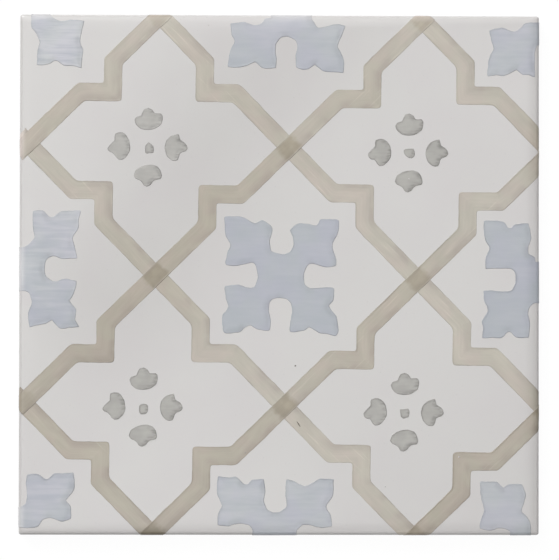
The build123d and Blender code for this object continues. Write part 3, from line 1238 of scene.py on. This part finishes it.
def band_mesh(name, sides, sizes):
    """Flat mesh of all the bands on some sides of the frames, with brush map and paint depths."""
    half_width = sizes.band_width / MM / 2
    pitch = sizes.pitch / MM
    across = [d - half_width for d in BAND_ROWS] + [0.0] + [half_width - d for d in reversed(BAND_ROWS)]
    columns = len(across)
    places, faces, strokes, brush, values = [], [], [], [], []
    for number, (frame_place, side) in enumerate((f, side) for f in FRAME_BENDS for side in sides):
        joints, crossings, past = side_joints(frame_place, side, pitch, half_width)
        sections, lengths, runs = band_sections(joints, across, sizes.slant_width)
        for _ in range(BEND_ROUNDS):
            soft = sections.copy()
            soft[1:-1] = 0.25 * sections[:-2] + 0.5 * sections[1:-1] + 0.25 * sections[2:]
            sections = soft
        base = len(places)
        total = lengths[-1]
        for section, length in zip(sections, lengths):
            gaps = (abs(length - past[0]), abs(total - past[1] - length))
            nearest = 0 if gaps[0] < gaps[1] else 1
            depth, rim = CROSSING_COATS[crossings[nearest]]
            under = (half_width - gaps[nearest]) * MM if name == "rising" else -1.0
            apart = np.clip((gaps[nearest] - half_width) / TONE_RUN, 0, 1)
            free = min(length if past[0] else total, total - length if past[1] else total)
            strength = np.interp(length, (0, total / 2, total), SIDE_STRENGTHS[frame_place][side])
            outward = (section[-1] - section[0]) / np.linalg.norm(section[-1] - section[0])
            for v, place in zip(across, section):
                edge = min(half_width - abs(v), free) * MM
                pool = edge_darkening(outward, half_width - v, *BAND_DARK_EDGE)
                pool += edge_darkening(-outward, half_width + v, *BAND_DARK_EDGE)
                places.append((place[0] * MM, place[1] * MM, 0.0))
                values.append((edge, pool, under, apart, depth, rim, strength))
                brush.append(((length + BRUSH_STEP * number) * MM, v * MM))

        # Strokes are numbered in tens, one ten for each side, and -1 has no tone of its own
        for j in range(len(sections) - 1):
            beside_crossing = runs[j] in (0, len(joints) - 2)
            for i in range(columns - 1):
                a = base + j * columns + i
                faces.append((a, a + 1, a + columns + 1, a + columns))
                strokes.append(-1 if beside_crossing else number * 10 + runs[j])
    mesh = bpy.data.meshes.new("bands_" + name)
    mesh.from_pydata(places, [], faces)
    attributes = ("edge", "pool", "under", "apart", "depth", "rim", "strength")
    for attribute, numbers in zip(attributes, zip(*values)):
        set_values(mesh, attribute, numbers)
    set_values(mesh, "stroke", strokes, "INT", "FACE")
    layer = mesh.uv_layers.new(name="brush")
    for loop in mesh.loops:
        layer.data[loop.index].uv = brush[loop.vertex_index]
    face_up(mesh)
    return mesh


def places_mesh(name, spots):
    """Points that a stencil is laid on, given in millimetres, each with how the brush was loaded."""
    mesh = bpy.data.meshes.new(name)
    mesh.from_pydata([(x * MM, y * MM, 0.0) for x, y, *_ in spots], [], [])
    loads = [(*spot[2:], 0.0, 0.0, 0.0)[:3] for spot in spots]
    for attribute, values in zip(("load", "fade", "dry"), zip(*loads)):
        set_values(mesh, attribute, values)
    return mesh


# Height above the back from which paint is dropped onto the glaze, and how far it may fall
DROP_START = 50 * MM
DROP_REACH = 100 * MM

# How far the paint's underside lies in the glaze, and how far apart points may lie that are welded
PAINT_SINK = 0.03 * MM
WELD = 0.0002 * MM

# Repeats per metre of the two sizes of hand wobble, and how far one swings for a wobble of 1
WOBBLE_SCALES = (120.0, 390.0)
WOBBLE_SWING = 3.2


def painting_tree(name, places, surface, shift, turn, shake, sizes, tile, material, seed):
    """Lays a flat stencil on every place, wobbles it by hand, drapes it on the glaze and fattens it."""
    tree = GeometryTree(name)
    turned = tree.setting("Turn", "Float", turn)
    moved = tree.setting("Shift", "Vector", (*shift, 0.0))
    film = tree.setting("Paint Thickness", "Float", sizes.paint_thickness)
    wobble = tree.setting("Hand Wobble", "Float", shake * sizes.hand_wobble)
    radius = tree.setting("Edge Radius", "Float", tile.edge_radius)
    start = tree.setting("Edge Start", "Float", tile.side / 2 - tile.edge_radius)
    wrap = tree.setting("Edge Wrap", "Float", sizes.rim_wrap)
    sink = tree.setting("Sink", "Float", PAINT_SINK)
    chance = tree.setting("Seed", "Int", seed)
    ground = tree.setting("Glaze", "Object", surface)
    spots = tree.setting("Places", "Object", places)

    # Copies of the stencil, one at each place
    angle = tree.combine(0.0, 0.0, turned)
    cells = tree.node("GeometryNodeObjectInfo", spots).outputs["Geometry"]
    spread = tree.node("GeometryNodeTransform", Geometry=cells, Translation=moved, Rotation=angle)
    stencil = tree.start.outputs["Geometry"]
    laid = tree.node("GeometryNodeInstanceOnPoints", Points=spread, Instance=stencil, Rotation=angle)
    counted = tree.store(laid, "copy", tree.node("GeometryNodeInputIndex"), "INT", "INSTANCE")
    real = tree.node("GeometryNodeRealizeInstances", counted)

    # Each stroke has its own tone
    stroke = tree.attribute("stroke", "INT")
    identity = tree.attribute("copy", "INT") * 37.0 + stroke
    shade = tree.node(
        "FunctionNodeRandomValue", data_type="FLOAT", Min=-1.0, Max=1.0, ID=identity, Seed=chance
    )
    plain = tree.math("GREATER_THAN", stroke, -0.5)
    toned = tree.store(real, "tone", tree.math("MULTIPLY", shade, plain), "FLOAT", "FACE")
    welded = tree.weld(toned, WELD)

    # Trim past the rim, where distance is measured along the arc of the edge
    place = tree.node("GeometryNodeInputPosition")
    x, y, _ = tree.separate(place)
    farthest = tree.math("MAXIMUM", tree.math("ABSOLUTE", x), tree.math("ABSOLUTE", y))
    spare = tree.math("MAXIMUM", wrap * radius + start - farthest, 0.0)
    measured = tree.store(welded, "spare", spare)
    depth_in = tree.math("MINIMUM", tree.attribute("edge"), tree.attribute("spare"))
    marked = tree.store(measured, "bare", tree.math("LESS_THAN", depth_in, 0.001 * MM), "BOOLEAN")
    bare = tree.attribute("bare", "BOOLEAN")
    kept = tree.node("GeometryNodeDeleteGeometry", domain="FACE", Geometry=marked, Selection=bare)

    # Hand wobble of two sizes, the same for everything at one spot
    swing = wobble * WOBBLE_SWING
    swings = []
    for scale in WOBBLE_SCALES:
        waves = tree.node(
            "ShaderNodeTexNoise", noise_dimensions="4D", Vector=place, W=chance, Scale=scale, Detail=1.0
        )
        centred = tree.vector("SUBTRACT", waves.outputs["Color"], (0.5, 0.5, 0.5))
        swings.append(tree.vector("MULTIPLY", centred, tree.combine(swing, swing, 0.0)))
    shaken = tree.node("GeometryNodeSetPosition", Geometry=kept, Offset=tree.vector("ADD", *swings))
    bent = tree.combine(*(bend_over_rim(tree, value, start, radius, wrap) for value in (x, y)), 0.0)
    trimmed = tree.node("GeometryNodeSetPosition", Geometry=shaken, Position=bent)

    # Drop onto the glaze
    glaze = tree.node("GeometryNodeObjectInfo", ground).outputs["Geometry"]
    hit = tree.node(
        "GeometryNodeRaycast", Target_Geometry=glaze, Ray_Direction=(0.0, 0.0, -1.0), Ray_Length=DROP_REACH,
        Source_Position=tree.vector("ADD", place, (0.0, 0.0, DROP_START)),
    )

    # Fired paint is thickest just inside its edge
    stretch = tree.smooth(tree.attribute("spare"), 0.8 * MM, 2.4 * MM, 0.02 * MM, 0.0)
    height = paint_profile(tree, depth_in) * (film + sink + stretch)
    lifted = tree.smooth(tree.attribute("under"), -1.5 * MM, -0.1 * MM, 0.0, sizes.paint_thickness)
    over = tree.math("MINIMUM", lifted, height * 2.0)
    halves = []
    for level in (height + over - sink, -sink):
        lift = tree.vector("MULTIPLY", hit.outputs["Hit Normal"], tree.combine(level, level, level))
        spot = tree.vector("ADD", hit.outputs["Hit Position"], lift)
        halves.append(tree.node("GeometryNodeSetPosition", Geometry=trimmed, Position=spot))
    halves[1] = tree.node("GeometryNodeFlipFaces", halves[1])
    closed = tree.weld(tree.join(*halves), WELD)
    tree.finish(tree.node("GeometryNodeSetShadeSmooth", closed), material)
    return tree


def bend_over_rim(tree, value, start, radius, wrap):
    """A coordinate that runs on past the rounded edge's start, bent round the edge's arc."""
    size = tree.math("ABSOLUTE", value)
    past = tree.math("MAXIMUM", size - start, 0.0)
    angle = tree.math("MINIMUM", past / radius, wrap)
    reached = tree.math("SINE", angle) * radius + tree.math("MINIMUM", size, start)
    return reached * tree.math("SIGN", value)


# Distances in from a painted edge at which its lip is highest and at which it has fallen away, and the
# share of the lip's height that is left there
LIP_TOP = 0.08 * MM
LIP_END = 0.62 * MM
FILM_SHARE = 0.4


def paint_profile(tree, depth_in):
    """Share of the full paint depth at a distance in from the edge, where paint dried in a thin lip."""
    rise = tree.smooth(depth_in, 0.0, LIP_TOP)
    return rise * tree.smooth(depth_in, LIP_TOP, LIP_END, 1.0, FILM_SHARE)


def paint(name, mesh, spots, material, shift=(0.0, 0.0), turn=0.0):
    """Lay a flat stencil mesh on the glazed face at each spot, as painted and fired."""
    seed, shake = WOBBLES[name]
    tile = bpy.context.scene.tile_sizes
    sizes = bpy.context.scene.tile_stencils
    base = add_piece(name + "_stencil", mesh)
    surface = bpy.data.objects["glaze_coat"]
    if len(spots) == 1:
        centre = Matrix.Rotation(turn, 2) @ Vector(spots[0][:2]) * MM + Vector(shift)
        score_rim(mesh, tile, sizes.rim_wrap, centre, turn)
    places = add_piece(name + "_places", places_mesh(name + "_places", spots))
    tree = painting_tree(name, places, surface, shift, turn, shake, sizes, tile, material, seed)
    piece = tree.run(base, name)
    remove_piece(base)
    remove_piece(places)
    return piece


# Faces and edges smaller than this are slivers between two cuts
SLIVER = 0.006 * MM


def join_pieces(name, pieces):
    """One object out of several that share a material."""
    made = bmesh.new()
    for piece in pieces:
        made.from_mesh(piece.data)
    bmesh.ops.dissolve_degenerate(made, dist=SLIVER, edges=made.edges)
    mesh = pieces[0].data.copy()
    made.to_mesh(mesh)
    made.free()
    mesh.name = name
    for piece in pieces:
        remove_piece(piece)
    return add_piece(name, mesh)


# Stage

# Overhead panels: where each starts and stops across and along the row, in metres, and its share of
# the panels' brightness. A dark gap is left in the middle of the row.
PANELS = (
    ("left_head", (-1.10, -0.185), (-0.25, 0.85), 1.0),
    ("left_foot", (-0.55, -0.185), (-0.85, -0.25), 0.85),
    ("far_left_foot", (-1.30, -0.55), (-0.95, -0.25), 0.85),
    ("gap_left_edge", (-0.185, -0.155), (-0.13, 0.85), 0.45),
    ("gap_right_edge", (-0.09, -0.055), (-0.13, 0.85), 0.5),
    ("gap_foot", (-0.185, -0.055), (-0.85, -0.13), 0.92),
    ("gap_head", (-0.155, -0.09), (0.27, 0.85), 0.5),
    ("top_skirt", (-1.10, -0.05), (0.85, 1.6), 0.5),
    ("right_foot", (-0.055, 0.19), (-0.85, -0.09), 1.15),
    ("right_head", (-0.055, 0.19), (-0.09, 0.85), 0.95),
    ("near_right_skirt", (0.19, 0.36), (-0.85, 0.85), 0.85),
    ("right_skirt", (0.36, 0.70), (-0.85, 0.85), 0.5),
)

# Place and side of the large soft lamp, in metres
KEY_PLACE = (-1.19, 1.78, 1.98)
KEY_SIDE = 1.5

# Half side of the floor, in metres, how bright it looks to the camera, and for how much of its look
# that brightness counts: the rest is the tile's soft shadow
FLOOR_REACH = 6.0
FLOOR_GLOW = 1.03
FLOOR_GLOW_SHARE = 0.93


def add_lamp(name, place, size, power):
    """A rectangular soft lamp that faces down until it is turned."""
    lamp = bpy.data.lights.new(name, "AREA")
    lamp.shape = "RECTANGLE"
    lamp.size, lamp.size_y = size
    lamp.energy = power
    holder = bpy.data.objects.new(name, lamp)
    holder.location = place
    bpy.context.scene.collection.objects.link(holder)
    return holder


def floor_paper():
    """White paper that the camera sees as white, apart from the tile's soft shadow."""
    material = bpy.data.materials.new("floor_paper")
    material.use_nodes = True
    tree = Tree(material.node_tree)
    tree.group.nodes.clear()
    path = tree.node("ShaderNodeLightPath")
    seen = tree.math("MAXIMUM", path.outputs["Is Camera Ray"], path.outputs["Is Glossy Ray"])
    seen = tree.math("MAXIMUM", seen, path.outputs["Is Transmission Ray"])
    paper = tree.node("ShaderNodeBsdfDiffuse", (0.8, 0.8, 0.8, 1.0))
    glow = tree.node("ShaderNodeEmission", (1.0, 1.0, 1.0, 1.0), FLOOR_GLOW)
    mixed = tree.node("ShaderNodeMixShader", seen * FLOOR_GLOW_SHARE, paper, glow)
    tree.node("ShaderNodeOutputMaterial", Surface=mixed)
    return material


def lit_room(fill_level):
    """A world that the camera sees as white, and that lights the tile with a plain light."""
    world = bpy.data.worlds.new("room")
    world.use_nodes = True
    tree = Tree(world.node_tree)
    background = tree.group.nodes["Background"]
    background.inputs["Color"].default_value = (1.0, 1.0, 1.0, 1.0)
    seen = tree.value(tree.node("ShaderNodeLightPath"), "Is Camera Ray")
    tree.fill(background.inputs["Strength"], seen * (1.0 - fill_level) + fill_level)
    return world


# Operators

# Shares of the back chamfer by which the back's rings stand in from the sides and up from the ground
BACK_STEPS = ((1.0, 0.0), (0.25, 0.6), (0.0, 1.3))


class TILE_OT_press_body(bpy.types.Operator):
    """Press the clay body, with its waffle back."""

    bl_idname = "tile.press_body"
    bl_label = "Press Body"

    def execute(self, context):
        sizes = context.scene.tile_sizes
        half = sizes.side / 2 - sizes.glaze_thickness
        top = sizes.thickness - sizes.glaze_thickness
        shoulder = top - sizes.cushion_drop - sizes.edge_radius
        chamfer = sizes.back_chamfer
        levels = [
            *((half - inset * chamfer, rise * chamfer) for inset, rise in BACK_STEPS),
            (half, shoulder),
            (half - sizes.edge_radius, top - sizes.cushion_drop),
            (half - sizes.edge_radius - sizes.cushion_run, top),
        ]
        slab = add_piece("pressed_slab", turned_solid(levels, sizes.corner_radius))
        material = bare_clay(tuple(context.scene.tile_colours.clay))
        body = waffle_tree(sizes, material).run(slab, "clay_body")
        remove_piece(slab)
        declare(body)
        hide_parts(NODE)
        return {"FINISHED"}


class TILE_OT_glaze_face(bpy.types.Operator):
    """Cover the face, the rim and most of the sides with glaze."""

    bl_idname = "tile.glaze_face"
    bl_label = "Glaze Face"

    def execute(self, context):
        coat = add_piece("glaze_coat", glaze_mesh(context.scene.tile_sizes))
        coat.data.materials.append(ground_glaze(tuple(context.scene.tile_colours.ground)))
        declare(coat)
        return {"FINISHED"}


class TILE_OT_paint_bands(bpy.types.Operator):
    """Paint the strapwork, first the falling bands and then the rising ones over them."""

    bl_idname = "tile.paint_bands"
    bl_label = "Paint Bands"

    def execute(self, context):
        sizes = context.scene.tile_stencils
        colours = context.scene.tile_colours
        material = band_paint(tuple(colours.band), tuple(colours.crossing))
        families = []
        for name, sides in BAND_FAMILIES.items():
            mesh = band_mesh(name, sides, sizes)
            families.append(paint(mesh.name, mesh, ((0, 0),), material, sizes.band_shift, sizes.band_turn))
        declare(join_pieces("strapwork_bands", families))
        return {"FINISHED"}


class TILE_OT_paint_crosses(bpy.types.Operator):
    """Paint the notched crosses where four frames meet."""

    bl_idname = "tile.paint_crosses"
    bl_label = "Paint Crosses"

    def execute(self, context):
        colours = context.scene.tile_colours
        material = cross_paint(tuple(colours.cross), tuple(colours.cross_thin))
        crosses = []
        for outline, spot in CROSSES:
            mesh = stencil_mesh("cross", [outline], NO_TIPS if outline is CROSS_OUTLINE else TIP_ANGLE)
            crosses.append(paint("cross", mesh, (spot,), material))
        declare(join_pieces("notched_crosses", crosses))
        return {"FINISHED"}


class TILE_OT_paint_flowers(bpy.types.Operator):
    """Paint the four-petal flowers in the middles of the frames."""

    bl_idname = "tile.paint_flowers"
    bl_label = "Paint Flowers"

    def execute(self, context):
        material = flower_paint(tuple(context.scene.tile_colours.flower))
        pieces = []
        for column, left_petal in zip((-1, 1), LEFT_PETALS):
            spots = [spot for spot in FLOWER_PLACES if spot[0] * column > 0]
            petals = stencil_mesh("petals", (*PETAL_OUTLINES, left_petal), PETAL_TIP_ANGLE)
            pieces.append(paint("petals", petals, spots, material))
        for outline, spot in zip(DOT_OUTLINES, FLOWER_PLACES):
            dot = stencil_mesh("dot", [outline], PETAL_TIP_ANGLE)
            pieces.append(paint("dot", dot, (spot,), material))
        declare(join_pieces("petal_flowers", pieces))
        return {"FINISHED"}


class TILE_OT_mark_glaze(bpy.types.Operator):
    """Scatter the few specks, pinholes and the hair that firing left in the glaze."""

    bl_idname = "tile.mark_glaze"
    bl_label = "Mark Glaze"

    def execute(self, context):
        colours = context.scene.tile_colours
        material = speck_finish(tuple(colours.speck), tuple(colours.ground))
        marks = []
        for length, width, turn, spot in SPECKS:
            mesh = stencil_mesh("speck", [speck_outline(length / 2, width / 2, math.radians(turn))])
            marks.append(paint("speck", mesh, (spot,), material))
        declare(join_pieces("glaze_specks", marks))
        return {"FINISHED"}


class TILE_OT_set_stage(bpy.types.Operator):
    """Set the floor, the lamps and the camera."""

    bl_idname = "tile.set_stage"
    bl_label = "Set Stage"

    def execute(self, context):
        scene = context.scene
        stage = scene.tile_stage
        scene.view_settings.view_transform = "Standard"
        scene.world = lit_room(stage.fill_level)

        mesh = bpy.data.meshes.new("floor")
        corners = ((-1, -1), (1, -1), (1, 1), (-1, 1))
        mesh.from_pydata([(x * FLOOR_REACH, y * FLOOR_REACH, 0) for x, y in corners], [], [(0, 1, 2, 3)])
        mesh.materials.append(floor_paper())
        add_piece("floor", mesh)

        key = add_lamp("key_lamp", KEY_PLACE, (KEY_SIDE, KEY_SIDE), stage.key_power)
        key.rotation_euler = (-key.location).to_track_quat("-Z", "Y").to_euler()

        turn = stage.panel_turn
        across = Vector((math.cos(turn), -math.sin(turn)))
        along = Vector((math.sin(turn), math.cos(turn)))
        for name, (start, stop), (near, far), share in PANELS:
            middle = across * (start + stop) / 2 + along * (near + far) / 2
            width, length = stop - start, far - near
            power = share * stage.panel_level * math.pi * width * length
            panel = add_lamp(name, (*middle, stage.panel_height), (width, length), power)
            panel.rotation_euler = (0.0, 0.0, -turn)

        camera = bpy.data.cameras.new("camera")
        camera.sensor_fit = "HORIZONTAL"
        camera.lens = stage.camera_lens
        camera.clip_end = 50.0
        eye = bpy.data.objects.new("camera", camera)
        eye.location = (*stage.camera_shift, stage.camera_height)
        eye.rotation_euler = stage.camera_turn
        scene.collection.objects.link(eye)
        scene.camera = eye
        return {"FINISHED"}


class TILE_PT_sidebar(bpy.types.Panel):
    """Sizes, colours and steps of the tile."""

    bl_idname = "TILE_PT_sidebar"
    bl_label = "Painted Wall Tile"
    bl_space_type = "VIEW_3D"
    bl_region_type = "UI"
    bl_category = "Tile"

    def draw(self, context):
        layout = self.layout
        for name in GROUPS:
            box = layout.box()
            settings = getattr(context.scene, name)
            for prop in settings.bl_rna.properties:
                if prop.identifier not in {"rna_type", "name"}:
                    box.prop(settings, prop.identifier)
        for step in STEPS:
            layout.operator(step.bl_idname)


GROUPS = {
    "tile_sizes": TileSizes,
    "tile_stencils": StencilSizes,
    "tile_colours": TileColours,
    "tile_stage": StageSizes,
}
STEPS = (
    TILE_OT_press_body,
    TILE_OT_glaze_face,
    TILE_OT_paint_bands,
    TILE_OT_paint_crosses,
    TILE_OT_paint_flowers,
    TILE_OT_mark_glaze,
    TILE_OT_set_stage,
)


CLASSES = (*GROUPS.values(), *STEPS, TILE_PT_sidebar)


def register():
    for kind in CLASSES:
        bpy.utils.register_class(kind)
    for name, group in GROUPS.items():
        setattr(bpy.types.Scene, name, bpy.props.PointerProperty(type=group))


def unregister():
    for name in GROUPS:
        delattr(bpy.types.Scene, name)
    for kind in reversed(CLASSES):
        bpy.utils.unregister_class(kind)


def main():
    register()
    bpy.ops.tile.press_body()
    bpy.ops.tile.glaze_face()
    bpy.ops.tile.paint_bands()
    bpy.ops.tile.paint_crosses()
    bpy.ops.tile.paint_flowers()
    bpy.ops.tile.mark_glaze()
    bpy.ops.tile.set_stage()


if __name__ == "__main__":
    main()
